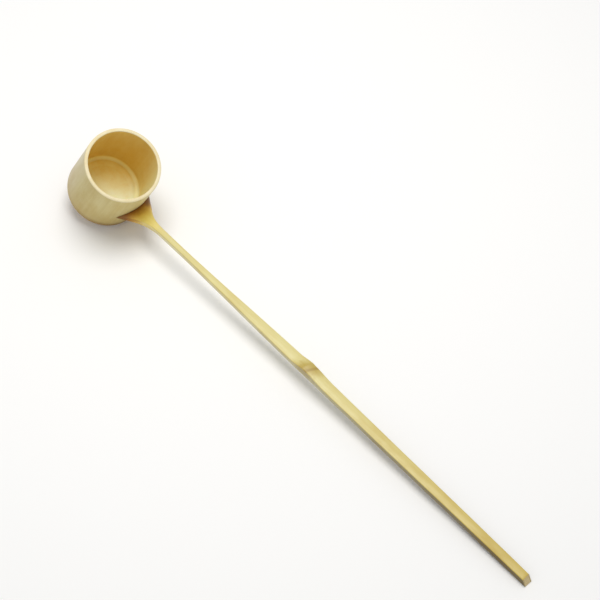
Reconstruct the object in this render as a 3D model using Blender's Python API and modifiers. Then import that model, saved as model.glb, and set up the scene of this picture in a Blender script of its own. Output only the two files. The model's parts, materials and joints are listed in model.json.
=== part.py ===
"""Bamboo ladle, lying at rest on a table.

The cup is one length of culm closed by its own node. The handle is a strip split from a
second culm: its top is that culm's round skin, and its root swells to a crescent that hugs
the cup. A half-moon tongue passes through the cup's wall, and two thin wedges driven into
its end from inside lock it there.

The world is in metres with +Z up. The ladle lies as it does on a table, on the cup's lower
edge and the handle's tip, with the handle along +X. The origin is below the middle of it.
"""

import math

import bmesh
import bpy
from mathutils import Vector

# Cup
CUP_DIAMETER = 0.0500
CUP_HEIGHT = 0.0490
CUP_WALL = 0.0024
FLOOR_THICKNESS = 0.0034
FLOOR_COVE = 0.0026
RIM_ROUND = 0.0007
BASE_ROUND = 0.0016
FOOT_WIDTH = 0.0050
BASE_HOLLOW = 0.0008

# Handle: distances run from the cup's wall along the handle
HANDLE_LENGTH = 0.3480
HANDLE_RISE = math.radians(24.0)
JOINT_HEIGHT = 0.0256
HANDLE_CULM_RADIUS = 0.0250
HORN_WIDTH = 0.0290
ROOT_THICKNESS = 0.0056
ROOT_EASE = 0.0260
FLARE_LENGTH = 0.0124
FLARE_EASE = 0.0034
FLARE_SHIFT = 0.0011
NECK_DISTANCE = 0.0450
NECK_WIDTH = 0.0044
NECK_THICKNESS = 0.0034
NODE_DISTANCE = 0.1605
NODE_WIDTH = 0.0081
NODE_THICKNESS = 0.0040
NODE_SWELL = 0.0021
NODE_RISE_LENGTH = 0.0120
NODE_FALL_LENGTH = 0.0190
NODE_KINK = math.radians(0.7)
TIP_WIDTH = 0.0055
TIP_THICKNESS = 0.0052
TIP_CUT = math.radians(30.0)

# Joint between the two
TONGUE_WIDTH = 0.0140
TONGUE_INSET = 0.0010
TONGUE_PROUD = 0.0005
WEDGE_LENGTH = 0.0050
WEDGE_MOUTH = 0.0010
WEDGE_TIP = 0.0004
CLEARANCE = 0.0003

# Fineness of the round shapes
CUP_STEPS = 96
CULM_STEPS = 128
ARC_STEPS = 6
FLARE_STEPS = 30
BULGE_STEPS = 8
TONGUE_STEPS = 10

CUP_RADIUS = CUP_DIAMETER / 2
BORE_RADIUS = CUP_RADIUS - CUP_WALL
MERGE = 0.00001
OVERRUN = 0.0060


def clear_scene():
    for item in list(bpy.data.objects):
        bpy.data.objects.remove(item, do_unlink=True)


def new_collection(name):
    collection = bpy.data.collections.new(name)
    bpy.context.scene.collection.children.link(collection)
    return collection


def material(name, colour, roughness):
    made = bpy.data.materials.new(name)
    made.use_nodes = True
    shader = made.node_tree.nodes["Principled BSDF"]
    shader.inputs["Base Color"].default_value = (*colour, 1.0)
    shader.inputs["Roughness"].default_value = roughness
    shader.inputs["Metallic"].default_value = 0.0
    return made


def add_object(name, mesh, collection, parent):
    item = bpy.data.objects.new(name, mesh)
    item.parent = parent
    collection.objects.link(item)
    return item


def add_empty(name, collection, parent=None):
    return add_object(name, None, collection, parent)


def as_cutter(item):
    item.hide_render = True
    item.display_type = "WIRE"
    return item


def arc(centre, radius, start, end, steps=ARC_STEPS):
    """Points on a round from one angle to another, in degrees."""
    angles = [math.radians(start + (end - start) * i / steps) for i in range(steps + 1)]
    return [(centre[0] + radius * math.cos(a), centre[1] + radius * math.sin(a)) for a in angles]


def revolved(name, profile, steps, collection, parent):
    """A solid turned about its own Z from (radius, height) points, down the outer side."""
    mesh = bpy.data.meshes.new(name)
    points = [(radius, 0.0, height) for radius, height in profile]
    edges = [(i, i + 1) for i in range(len(points) - 1)]
    mesh.from_pydata(points, edges, [])
    item = add_object(name, mesh, collection, parent)
    screw = item.modifiers.new("turn", "SCREW")
    screw.axis = "Z"
    screw.steps = steps
    screw.render_steps = steps
    screw.use_merge_vertices = True
    screw.merge_threshold = MERGE
    return item


def plate(name, outline, thickness, collection, parent):
    """A flat outline of 3-D points, thickened equally to both sides."""
    shape = bmesh.new()
    shape.faces.new([shape.verts.new(point) for point in outline])
    mesh = bpy.data.meshes.new(name)
    shape.to_mesh(mesh)
    shape.free()
    item = add_object(name, mesh, collection, parent)
    thicken = item.modifiers.new("thicken", "SOLIDIFY")
    thicken.thickness = thickness
    thicken.offset = 0.0
    return item


def boolean(item, operation, other):
    modifier = item.modifiers.new(operation.lower() + "_" + other.name, "BOOLEAN")
    modifier.operation = operation
    modifier.solver = "EXACT"
    modifier.object = other


def smooth(value):
    """Eases from 0 to 1 with level ends."""
    value = min(max(value, 0.0), 1.0)
    return value * value * (3.0 - 2.0 * value)


def between(distance, start, end, first, last):
    return first + (last - first) * (distance - start) / (end - start)


def culm_drop(radius, side):
    """How far a round skin has fallen at a distance from its crest line."""
    return radius - math.sqrt(radius * radius - side * side)


def horn_distance():
    """Where the horns' points lie along the handle, behind the foremost line of the wall."""
    side = HORN_WIDTH / 2
    back = math.sqrt(CUP_RADIUS * CUP_RADIUS - side * side) - CUP_RADIUS
    drop = culm_drop(HANDLE_CULM_RADIUS, side)
    return (back - drop * math.sin(HANDLE_RISE)) / math.cos(HANDLE_RISE)


def soft_run(run):
    """A run that fades out softly at its end and doesn't stop short there."""
    return FLARE_EASE * math.log1p(math.exp(run / FLARE_EASE))


def flare_left(distance):
    """1 at the horns' points, then a straight slope that turns softly into the neck at 0."""
    start = horn_distance()
    return soft_run(FLARE_LENGTH - max(distance, start)) / soft_run(FLARE_LENGTH - start)


def half_width(distance):
    if distance < NECK_DISTANCE:
        return (NECK_WIDTH + (HORN_WIDTH - NECK_WIDTH) * flare_left(distance)) / 2
    if distance < NODE_DISTANCE:
        share = smooth((distance - NECK_DISTANCE) / (NODE_DISTANCE - NECK_DISTANCE))
        return (NECK_WIDTH + (NODE_WIDTH - NECK_WIDTH) * share) / 2
    return between(distance, NODE_DISTANCE, HANDLE_LENGTH, NODE_WIDTH, TIP_WIDTH) / 2


def thickness(distance):
    if distance < ROOT_EASE:
        return ROOT_THICKNESS + (NECK_THICKNESS - ROOT_THICKNESS) * smooth(distance / ROOT_EASE)
    if distance < NODE_DISTANCE:
        return between(distance, ROOT_EASE, NODE_DISTANCE, NECK_THICKNESS, NODE_THICKNESS)
    return between(distance, NODE_DISTANCE, HANDLE_LENGTH, NODE_THICKNESS, TIP_THICKNESS)


def centre_line(distance):
    """Hand-cut: one horn is longer, which fades with the flare, and the strip bends at its node."""
    bend = math.tan(NODE_KINK) * max(distance - NODE_DISTANCE, 0.0)
    return FLARE_SHIFT * smooth(2.0 * flare_left(distance)) - bend


def cup_profile():
    """From the middle of the floor up the inside, over the rim and down to the base."""
    cove = arc((BORE_RADIUS - FLOOR_COVE, FLOOR_THICKNESS + FLOOR_COVE), FLOOR_COVE, -90, 0)
    inner_lip = arc((BORE_RADIUS + RIM_ROUND, CUP_HEIGHT - RIM_ROUND), RIM_ROUND, 180, 90, 4)
    outer_lip = arc((CUP_RADIUS - RIM_ROUND, CUP_HEIGHT - RIM_ROUND), RIM_ROUND, 90, 0, 4)
    edge = arc((CUP_RADIUS - BASE_ROUND, BASE_ROUND), BASE_ROUND, 0, -90)
    foot = CUP_RADIUS - FOOT_WIDTH
    base = [(foot, 0.0), (foot - BASE_HOLLOW, BASE_HOLLOW), (0.0, BASE_HOLLOW)]
    return [(0.0, FLOOR_THICKNESS)] + cove + inner_lip + outer_lip + edge + base


def culm_profile():
    """The skin that the handle was split from, with its swollen node."""
    stations = [HANDLE_LENGTH + OVERRUN]
    for i in range(BULGE_STEPS, 0, -1):
        stations.append(NODE_DISTANCE + NODE_FALL_LENGTH * i / BULGE_STEPS)
    for i in range(BULGE_STEPS + 1):
        stations.append(NODE_DISTANCE - NODE_RISE_LENGTH * i / BULGE_STEPS)
    stations.append(horn_distance() - OVERRUN)
    profile = [(0.0, stations[0])]
    for distance in stations:
        reach = NODE_FALL_LENGTH if distance > NODE_DISTANCE else NODE_RISE_LENGTH
        swell = NODE_SWELL * smooth(1.0 - abs(distance - NODE_DISTANCE) / reach)
        profile.append((HANDLE_CULM_RADIUS + swell, distance))
    return profile + [(0.0, stations[-1])]


def plan_stations():
    """Distances that the handle's outline needs: close together in the flare."""
    start = horn_distance()
    flare = [start + (NECK_DISTANCE - start) * (i / FLARE_STEPS) ** 1.6 for i in range(FLARE_STEPS)]
    taper = [NECK_DISTANCE + (NODE_DISTANCE - NECK_DISTANCE) * i / BULGE_STEPS for i in range(BULGE_STEPS)]
    return [start - OVERRUN] + flare + taper + [NODE_DISTANCE, HANDLE_LENGTH + OVERRUN]


def plan_outline():
    stations = plan_stations()
    wide = [half_width(s) for s in stations]
    one_side = [(s, centre_line(s) + w, 0.0) for s, w in zip(stations, wide)]
    other_side = [(s, centre_line(s) - w, 0.0) for s, w in zip(stations, wide)]
    return other_side + one_side[::-1]


def side_outline():
    """The strip seen from the side: level above the skin, thinned from below, cut at the tip."""
    top = NODE_SWELL + OVERRUN
    start = horn_distance() - OVERRUN
    eased = [ROOT_EASE * i / ARC_STEPS for i in range(ARC_STEPS + 1)]
    below = [(s, 0.0, -thickness(s)) for s in [start] + eased + [NODE_DISTANCE, HANDLE_LENGTH]]
    lean = (top + TIP_THICKNESS) * math.tan(TIP_CUT)
    return below + [(HANDLE_LENGTH - lean, 0.0, top), (start, 0.0, top)]


def tongue_section(distance, spare):
    """Half-moon across the handle: round above, flat below, enlarged all round by spare."""
    radius = HANDLE_CULM_RADIUS - TONGUE_INSET + spare
    side = TONGUE_WIDTH / 2 + spare
    floor = -(ROOT_THICKNESS - TONGUE_INSET) - spare
    top = []
    for i in range(TONGUE_STEPS + 1):
        across = side - 2 * side * i / TONGUE_STEPS
        top.append((distance, across, -TONGUE_INSET + spare - culm_drop(radius, across)))
    return [(distance, -side, floor), (distance, side, floor)] + top


def tongue_bar(name, start, end, spare, collection, parent):
    section = tongue_section((start + end) / 2, spare)
    return plate(name, section, end - start, collection, parent)


def wedge_solid(name, place, spare, collection, parent):
    """A thin slip, thick at the mouth inside the cup and thin towards the handle."""
    start = -(CUP_WALL + TONGUE_PROUD) / math.cos(HANDLE_RISE) - OVERRUN
    end = start + OVERRUN + WEDGE_LENGTH + spare
    mouth = WEDGE_MOUTH / 2 + spare
    tip = WEDGE_TIP / 2 + spare
    radius = HANDLE_CULM_RADIUS - TONGUE_INSET
    top = -TONGUE_INSET - culm_drop(radius, abs(place) + mouth) + 2 * spare
    floor = -(ROOT_THICKNESS - TONGUE_INSET) - 2 * spare
    middle = (top + floor) / 2
    outline = [
        (start, place - mouth, middle),
        (start + OVERRUN, place - mouth, middle),
        (end, place - tip, middle),
        (end, place + tip, middle),
        (start + OVERRUN, place + mouth, middle),
        (start, place + mouth, middle),
    ]
    return plate(name, outline, top - floor, collection, parent)


def upright_cylinder(name, radius, collection, parent):
    """A plain cylinder on the cup's axis, taller than the cup."""
    profile = [
        (0.0, CUP_HEIGHT + OVERRUN),
        (radius, CUP_HEIGHT + OVERRUN),
        (radius, -OVERRUN),
        (0.0, -OVERRUN),
    ]
    return as_cutter(revolved(name, profile, CUP_STEPS, collection, parent))


def along_handle(distance, rise):
    """A point of the handle's middle plane in the cup's own frame: (outward, height)."""
    outward = CUP_RADIUS + distance * math.cos(HANDLE_RISE) - rise * math.sin(HANDLE_RISE)
    height = JOINT_HEIGHT + distance * math.sin(HANDLE_RISE) + rise * math.cos(HANDLE_RISE)
    return outward, height


def rest_pose():
    """The lean and the place that set the rounded base edge and the tip on the table."""
    tip_x, tip_z = along_handle(HANDLE_LENGTH, -TIP_THICKNESS)
    edge_x = CUP_RADIUS - BASE_ROUND
    reach_x = tip_x - edge_x
    reach_z = tip_z - BASE_ROUND
    lean = math.atan2(reach_z, reach_x) + math.asin(BASE_ROUND / math.hypot(reach_x, reach_z))
    lift = edge_x * math.sin(lean) - BASE_ROUND * math.cos(lean) + BASE_ROUND
    back = -edge_x * math.cos(lean) + BASE_ROUND * math.sin(lean) - BASE_ROUND
    front = tip_x * math.cos(lean) + tip_z * math.sin(lean)
    return lean, Vector((-(back + front) / 2, 0.0, lift))


def build():
    clear_scene()
    parts = new_collection("bamboo_ladle")
    cutters = new_collection("cutters")

    lean, place = rest_pose()
    cup_frame = add_empty("cup_frame", parts)
    cup_frame.rotation_euler = (0.0, lean, 0.0)
    cup_frame.location = place
    handle_frame = add_empty("handle_frame", parts, cup_frame)
    handle_frame.rotation_euler = (0.0, -HANDLE_RISE, 0.0)
    handle_frame.location = (CUP_RADIUS, 0.0, JOINT_HEIGHT)

    behind = -(CUP_WALL + TONGUE_PROUD) / math.cos(HANDLE_RISE) - OVERRUN
    shoulder = upright_cylinder("shoulder_cutter", CUP_RADIUS + CLEARANCE, cutters, cup_frame)
    trim = upright_cylinder("trim_cutter", BORE_RADIUS - TONGUE_PROUD, cutters, cup_frame)
    slot = as_cutter(tongue_bar("slot_cutter", behind, OVERRUN, CLEARANCE, cutters, handle_frame))

    cup = revolved("cup", cup_profile(), CUP_STEPS, parts, cup_frame)
    boolean(cup, "DIFFERENCE", slot)
    cup.data.materials.append(material("shaved_bamboo", (0.66, 0.53, 0.31), 0.6))

    culm = as_cutter(revolved("culm_cutter", culm_profile(), CULM_STEPS, cutters, handle_frame))
    culm.rotation_euler = (0.0, math.pi / 2, 0.0)
    culm.location = (0.0, 0.0, -HANDLE_CULM_RADIUS)
    side = as_cutter(plate("side_cutter", side_outline(), HORN_WIDTH + OVERRUN, cutters, handle_frame))
    tongue = as_cutter(tongue_bar("tongue", behind, TONGUE_INSET, 0.0, cutters, handle_frame))
    boolean(tongue, "DIFFERENCE", trim)

    depth = 2 * (ROOT_THICKNESS + TIP_THICKNESS + NODE_SWELL + OVERRUN)
    handle = plate("handle", plan_outline(), depth, parts, handle_frame)
    boolean(handle, "INTERSECT", side)
    boolean(handle, "INTERSECT", culm)
    boolean(handle, "DIFFERENCE", shoulder)
    boolean(handle, "UNION", tongue)
    handle.data.materials.append(material("bamboo_skin", (0.74, 0.63, 0.33), 0.4))

    slip = material("bamboo_slip", (0.50, 0.36, 0.16), 0.6)
    for name, sign in (("wedge_left", 1), ("wedge_right", -1)):
        across = sign * TONGUE_WIDTH / 4
        kerf = as_cutter(wedge_solid(name + "_kerf", across, CLEARANCE, cutters, handle_frame))
        boolean(handle, "DIFFERENCE", kerf)
        wedge = wedge_solid(name, across, 0.0, parts, handle_frame)
        boolean(wedge, "DIFFERENCE", trim)
        wedge.data.materials.append(slip)

    print("lean", round(math.degrees(lean), 2), "degrees, place", [round(v, 5) for v in place])


build()
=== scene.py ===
# %% [markdown]
# # A bamboo ladle
# The packed model holds the ladle's four pieces at their real size, lying on a table: a cup, a
# handle and two thin wedges hidden in the joint. This script keeps their places and gives them
# finely made surfaces. Loading comes first, because every later piece takes its place from it.

# %% Load the packed ladle
import json
import math

import bmesh
import bpy
from mathutils import Matrix, Vector


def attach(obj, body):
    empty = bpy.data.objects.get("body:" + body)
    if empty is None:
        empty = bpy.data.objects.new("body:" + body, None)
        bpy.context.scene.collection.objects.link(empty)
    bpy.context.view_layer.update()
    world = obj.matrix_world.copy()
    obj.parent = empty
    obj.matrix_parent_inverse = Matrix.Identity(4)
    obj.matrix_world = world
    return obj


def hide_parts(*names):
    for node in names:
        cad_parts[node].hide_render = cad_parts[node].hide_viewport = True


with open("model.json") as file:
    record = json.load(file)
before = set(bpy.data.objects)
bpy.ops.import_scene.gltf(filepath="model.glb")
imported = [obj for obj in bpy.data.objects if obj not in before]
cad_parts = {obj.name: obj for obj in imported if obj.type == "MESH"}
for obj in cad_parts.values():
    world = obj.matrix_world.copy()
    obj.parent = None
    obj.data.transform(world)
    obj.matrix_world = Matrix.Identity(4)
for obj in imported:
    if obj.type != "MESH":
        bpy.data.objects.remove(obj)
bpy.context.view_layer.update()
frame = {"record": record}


def rounded(values, digits=4):
    return [round(value, digits) for value in values]


# %% [markdown]
# ## Two working frames
# The ladle doesn't stand straight: it leans on the cup's lower edge and the handle's tip. Shapes
# are far easier to write upright, so the cup gets a frame with Z up its own axis, and the handle
# one with X along the strip. The lean is read from the record's face under the cup, whose
# direction is the cup's own axis, so nothing is fitted by eye. All lengths are in metres.

# %% Frames of the cup and the handle
CUP_RADIUS = 0.0250
FOOT_POINT_RADIUS = 0.0217
JOINT_HEIGHT = 0.0256
HANDLE_RISE = math.radians(24.0)

mounts = {mount["name"]: mount for mount in frame["record"]["mounts"]}
foot_axis = Vector(mounts["cup_foot"]["axis"])
LEAN = math.atan2(-foot_axis.x, -foot_axis.z)
turn_cup = Matrix.Rotation(LEAN, 4, "Y")
cup_place = Vector(mounts["cup_foot"]["pos_m"]) - turn_cup @ Vector((-FOOT_POINT_RADIUS, 0.0, 0.0))
CUP_TO_WORLD = Matrix.Translation(cup_place) @ turn_cup
JOINT = Matrix.Translation((CUP_RADIUS, 0.0, JOINT_HEIGHT)) @ Matrix.Rotation(-HANDLE_RISE, 4, "Y")
HANDLE_TO_WORLD = CUP_TO_WORLD @ JOINT
print("cup leans", round(math.degrees(LEAN), 2), "degrees, base at", rounded(cup_place))

# %% [markdown]
# ## The camera
# The view was found by matching the cup's mouth, its base and the handle's edges: a long lens,
# a little over a metre away, looking down at the ladle from the handle's side. The values are
# angles and a distance round one aimed point on the table, which are easy to read and to change.

# %% Camera
VIEW_AZIMUTH = math.radians(44.86)
VIEW_ELEVATION = math.radians(53.03)
VIEW_ROLL = math.radians(2.62)
VIEW_DISTANCE = 1.230
VIEW_AIM = Vector((-0.0347, 0.0394, 0.0))
VIEW_LENS = 116.6
SENSOR_WIDTH = 36.0


def add_object(name, data):
    item = bpy.data.objects.new(name, data)
    bpy.context.scene.collection.objects.link(item)
    return item


def facing(place, back):
    """A place whose Z points back, because a camera or a lamp looks along its -Z."""
    return Matrix.Translation(place) @ back.to_track_quat("Z", "Y").to_matrix().to_4x4()


def aim_camera():
    level = math.cos(VIEW_ELEVATION)
    east = math.sin(VIEW_AZIMUTH) * level
    north = -math.cos(VIEW_AZIMUTH) * level
    back = Vector((east, north, math.sin(VIEW_ELEVATION)))
    data = bpy.data.cameras.new("camera")
    data.lens = VIEW_LENS
    data.sensor_width = SENSOR_WIDTH
    camera = add_object("camera", data)
    place = facing(VIEW_AIM + VIEW_DISTANCE * back, back)
    camera.matrix_world = place @ Matrix.Rotation(VIEW_ROLL, 4, "Z")
    bpy.context.scene.camera = camera
    return camera


camera = aim_camera()
print("camera at", rounded(camera.matrix_world.translation))

# %% [markdown]
# ## From a bmesh to a piece
# Each piece is shaped in its own frame and then moved into the world inside its mesh, so its
# object stays at the origin like a CAD node's. Moving the object would be shorter, but a pattern
# that is laid out on the object would then shift when the model is exported.

# %% Helper for pieces
MERGE = 1e-6


def mesh_object(name, bm, to_world):
    bmesh.ops.remove_doubles(bm, verts=bm.verts[:], dist=MERGE)
    bmesh.ops.recalc_face_normals(bm, faces=bm.faces[:])
    bmesh.ops.transform(bm, matrix=to_world, verts=bm.verts[:])
    mesh = bpy.data.meshes.new(name)
    bm.to_mesh(mesh)
    bm.free()
    return add_object(name, mesh)


print("points closer than", MERGE, "m are merged")

# %% [markdown]
# ## The cup
# A real cup of this kind is a length of culm turned thin on a lathe, with the culm's node left in
# as the floor. The floor is gently dished with a low ring, and the underside is hollow. Both could
# be flat discs, but no light would play on them, so two formulas give the height at each radius.

# %% Cup floor and hollow
CUP_WALL = 0.0024
BORE_RADIUS = CUP_RADIUS - CUP_WALL
FLOOR_HEIGHT = 0.0034
FLOOR_COVE = 0.0026
FLOOR_DISH = 0.0004
RING_RADIUS = 0.0186
RING_HEIGHT = 0.00035
RING_WIDTH = 0.0016
FOOT_WIDTH = 0.0050
UNDER_EDGE = CUP_RADIUS - FOOT_WIDTH
UNDER_HOLLOW = 0.0008
UNDER_SLOPE = 0.0016
UNDER_DOME = 0.3


def smooth(value):
    value = min(max(value, 0.0), 1.0)
    return value * value * (3.0 - 2.0 * value)


def floor_point(radius):
    flat = BORE_RADIUS - FLOOR_COVE
    dish = -FLOOR_DISH * (1.0 - (radius / flat) ** 2)
    ring = RING_HEIGHT * math.exp(-(((radius - RING_RADIUS) / RING_WIDTH) ** 2))
    return radius, FLOOR_HEIGHT + dish + ring * smooth((flat - radius) / RING_WIDTH)


def under_point(radius):
    """The hollow below the node: shallow, with a soft dome in the middle."""
    dome = 1.0 - UNDER_DOME * (1.0 - radius / UNDER_EDGE)
    return radius, UNDER_HOLLOW * dome * smooth((UNDER_EDGE - radius) / UNDER_SLOPE)


print("floor is", round(floor_point(0.0)[1] * 1000, 2), "mm high in its middle")

# %% [markdown]
# A lathe shape is one profile swept round an axis, so the profile is drawn once, as a chain of
# points. It runs over the floor, up a cove and the wall, over a rounded lip, down the outside, round
# the foot and under the node. Arcs make the round corners here, so that no bevel is needed later.

# %% Cup profile
CUP_HEIGHT = 0.0490
LIP_OUTER = 0.0008
LIP_INNER = 0.0006
FOOT_ROUND = 0.0016
WALL_ROWS = 16
FLOOR_ROWS = 22
ROUND_STEPS = 8
LIP_STEPS = 6


def arc(centre, radius, start, end, steps):
    angles = [math.radians(start + (end - start) * i / steps) for i in range(steps + 1)]
    return [(centre[0] + radius * math.cos(a), centre[1] + radius * math.sin(a)) for a in angles]


def cup_profile():
    flat = BORE_RADIUS - FLOOR_COVE
    floor = [floor_point(flat * i / FLOOR_ROWS) for i in range(FLOOR_ROWS)]
    cove = arc((flat, FLOOR_HEIGHT + FLOOR_COVE), FLOOR_COVE, -90, 0, ROUND_STEPS)
    low, high = cove[-1][1], CUP_HEIGHT - LIP_INNER
    inside = [(BORE_RADIUS, low + (high - low) * i / WALL_ROWS) for i in range(1, WALL_ROWS)]
    lip_in = arc((BORE_RADIUS + LIP_INNER, high), LIP_INNER, 180, 90, LIP_STEPS)
    lip_out = arc((CUP_RADIUS - LIP_OUTER, CUP_HEIGHT - LIP_OUTER), LIP_OUTER, 90, 0, LIP_STEPS)
    low, high = FOOT_ROUND, CUP_HEIGHT - LIP_OUTER
    outside = [(CUP_RADIUS, high + (low - high) * i / WALL_ROWS) for i in range(1, WALL_ROWS)]
    foot = arc((CUP_RADIUS - FOOT_ROUND, FOOT_ROUND), FOOT_ROUND, 0, -90, ROUND_STEPS)
    under = [under_point(UNDER_EDGE * (1.0 - i / FLOOR_ROWS)) for i in range(FLOOR_ROWS + 1)]
    return floor + cove + inside + lip_in + lip_out + outside + foot + under


print("cup profile has", len(cup_profile()), "points")

# %% [markdown]
# Spinning the chain right round the axis closes it into the cup. A culm is never a true circle, so
# after the spin the wall is pressed a little oval and waved by a few hundredths of a millimetre,
# always inwards, so the cup stays inside its CAD size.

# %% Spin the cup
CUP_STEPS = 224
CUP_OVAL = 0.00018
OVAL_TURN = 1.1
CUP_WAVE = 0.00006
WAVE_COUNT = 5
WAVE_CLIMB = 90.0


def culm_unevenness(angle, height):
    """How far the wall lies inside the true circle."""
    oval = CUP_OVAL * (0.5 + 0.5 * math.cos(2.0 * angle + OVAL_TURN))
    wave = CUP_WAVE * (0.5 + 0.5 * math.sin(WAVE_COUNT * angle + WAVE_CLIMB * height))
    return oval + wave


def spin_cup():
    bm = bmesh.new()
    chain = [bm.verts.new((radius, 0.0, height)) for radius, height in cup_profile()]
    edges = [bm.edges.new(pair) for pair in zip(chain, chain[1:])]
    bmesh.ops.spin(
        bm,
        geom=chain + edges,
        cent=(0.0, 0.0, 0.0),
        axis=(0.0, 0.0, 1.0),
        angle=math.tau,
        steps=CUP_STEPS,
        use_merge=True,
    )
    bmesh.ops.remove_doubles(bm, verts=bm.verts[:], dist=MERGE)
    for vert in bm.verts:
        angle = math.atan2(vert.co.y, vert.co.x)
        vert.co.xy *= 1.0 - culm_unevenness(angle, vert.co.z) / CUP_RADIUS
    return bm


cup = mesh_object("cup_turned", spin_cup(), CUP_TO_WORLD)
print("cup spun:", len(cup.data.vertices), "points")

# %% [markdown]
# ## The slot and the tongue
# The handle goes through the wall as a half-moon tongue: round above, like the culm it was split
# from, and flat below. The same bar, a hair larger, cuts the slot. A bar like this is one flat
# face drawn from the section and extruded along the handle.

# %% Half-moon bar
HANDLE_CULM_RADIUS = 0.0250
ROOT_THICKNESS = 0.0056
TONGUE_WIDTH = 0.0140
TONGUE_INSET = 0.0010
SECTION_STEPS = 28


def culm_drop(radius, side):
    return radius - math.sqrt(radius * radius - side * side)


def extrude_points(bm, faces):
    """Extrudes the faces where they are, and returns the new points."""
    grown = bmesh.ops.extrude_face_region(bm, geom=faces, use_keep_orig=True)["geom"]
    return [part for part in grown if isinstance(part, bmesh.types.BMVert)]


def half_moon_bar(name, start, end, spare):
    radius = HANDLE_CULM_RADIUS - TONGUE_INSET + spare
    side = TONGUE_WIDTH / 2 + spare
    floor = -(ROOT_THICKNESS - TONGUE_INSET) - spare
    section = [(-side, floor), (side, floor)]
    for i in range(SECTION_STEPS + 1):
        across = side - 2.0 * side * i / SECTION_STEPS
        section.append((across, spare - TONGUE_INSET - culm_drop(radius, across)))
    bm = bmesh.new()
    face = bm.faces.new([bm.verts.new((start, y, z)) for y, z in section])
    bmesh.ops.translate(bm, vec=(end - start, 0.0, 0.0), verts=extrude_points(bm, [face]))
    return mesh_object(name, bm, HANDLE_TO_WORLD)


tongue_drop = culm_drop(HANDLE_CULM_RADIUS - TONGUE_INSET, TONGUE_WIDTH / 2)
print("tongue's top drops", round(tongue_drop * 1000, 2), "mm to its sides")

# %% [markdown]
# A Boolean modifier takes the bar away from the cup, as a chisel would. The result is kept as a
# plain mesh and the bar is deleted, so nothing of the tool is left in the model.

# %% Cut the slot
TONGUE_PROUD = 0.0005
SLOT_FIT = 0.00006
BAR_REACH = 0.0060
INNER_END = -(CUP_WALL + TONGUE_PROUD) / math.cos(HANDLE_RISE)


def carve(item, tools):
    """Cuts or joins the listed (operation, object) tools and leaves a plain mesh."""
    for operation, tool in tools:
        modifier = item.modifiers.new(tool.name, "BOOLEAN")
        modifier.operation = operation
        modifier.solver = "EXACT"
        modifier.object = tool
    settled = item.evaluated_get(bpy.context.evaluated_depsgraph_get())
    item.data = bpy.data.meshes.new_from_object(settled)
    item.modifiers.clear()
    for _, tool in tools:
        bpy.data.objects.remove(tool, do_unlink=True)


carve(cup, [("DIFFERENCE", half_moon_bar("slot", INNER_END - BAR_REACH, BAR_REACH, SLOT_FIT))])
print("slot cut:", len(cup.data.polygons), "faces")

# %% [markdown]
# ## The handle
# The handle is a strip split from a culm, so its top keeps the culm's round skin. Its plan swells
# to a crescent at the cup on almost straight slopes, narrows to a neck, widens to the node and
# tapers to the tip. A drawn outline would be fixed at one size, so the half width is a formula.

# %% Handle plan
HANDLE_LENGTH = 0.3480
HORN_WIDTH = 0.0290
FLARE_LENGTH = 0.0124
FLARE_EASE = 0.0034
NECK_DISTANCE = 0.0450
NECK_WIDTH = 0.0044
NODE_DISTANCE = 0.1605
NODE_WIDTH = 0.0081
TIP_WIDTH = 0.0055


def horn_distance():
    side = HORN_WIDTH / 2
    back = math.sqrt(CUP_RADIUS**2 - side**2) - CUP_RADIUS
    return (back - culm_drop(HANDLE_CULM_RADIUS, side) * math.sin(HANDLE_RISE)) / math.cos(HANDLE_RISE)


HORN_DISTANCE = horn_distance()


def between(distance, start, end, first, last):
    return first + (last - first) * (distance - start) / (end - start)


def soft_run(run):
    return FLARE_EASE * math.log1p(math.exp(run / FLARE_EASE))


def flare_left(distance):
    """1 at the horns' points, then a straight slope that turns softly into the neck at 0."""
    run = FLARE_LENGTH - max(distance, HORN_DISTANCE)
    return soft_run(run) / soft_run(FLARE_LENGTH - HORN_DISTANCE)


def half_width(distance):
    if distance < NECK_DISTANCE:
        return (NECK_WIDTH + (HORN_WIDTH - NECK_WIDTH) * flare_left(distance)) / 2
    if distance < NODE_DISTANCE:
        share = smooth((distance - NECK_DISTANCE) / (NODE_DISTANCE - NECK_DISTANCE))
        return (NECK_WIDTH + (NODE_WIDTH - NECK_WIDTH) * share) / 2
    return between(distance, NODE_DISTANCE, HANDLE_LENGTH, NODE_WIDTH, TIP_WIDTH) / 2


print("horns start", round(-HORN_DISTANCE * 1000, 2), "mm behind the wall's front")

# %% [markdown]
# Seen from the side, the strip is thick at its root and its tip and thin at the neck. The flare
# sits a little to one side, and the strip bends slightly at the node, as split bamboo does. These
# too are formulas of the distance along the strip, so every row of the mesh can ask for them.

# %% Handle thickness and bend
NECK_THICKNESS = 0.0034
ROOT_EASE = 0.0260
NODE_THICKNESS = 0.0040
TIP_THICKNESS = 0.0052
HALF_FLARE = 0.5
FLARE_SHIFT = 0.0011
NODE_KINK = math.radians(0.7)


def thickness(distance):
    if distance < ROOT_EASE:
        return ROOT_THICKNESS + (NECK_THICKNESS - ROOT_THICKNESS) * smooth(distance / ROOT_EASE)
    if distance < NODE_DISTANCE:
        return between(distance, ROOT_EASE, NODE_DISTANCE, NECK_THICKNESS, NODE_THICKNESS)
    return between(distance, NODE_DISTANCE, HANDLE_LENGTH, NODE_THICKNESS, TIP_THICKNESS)


def on_flare(distance):
    """1 on the wide half of the flare, 0 on the neck."""
    return smooth(flare_left(distance) / HALF_FLARE)


def centre_line(distance):
    bend = math.tan(NODE_KINK) * max(distance - NODE_DISTANCE, 0.0)
    return FLARE_SHIFT * on_flare(distance) - bend


print("strip is", round(thickness(NODE_DISTANCE) * 1000, 2), "mm thick before the node's swelling")

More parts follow.
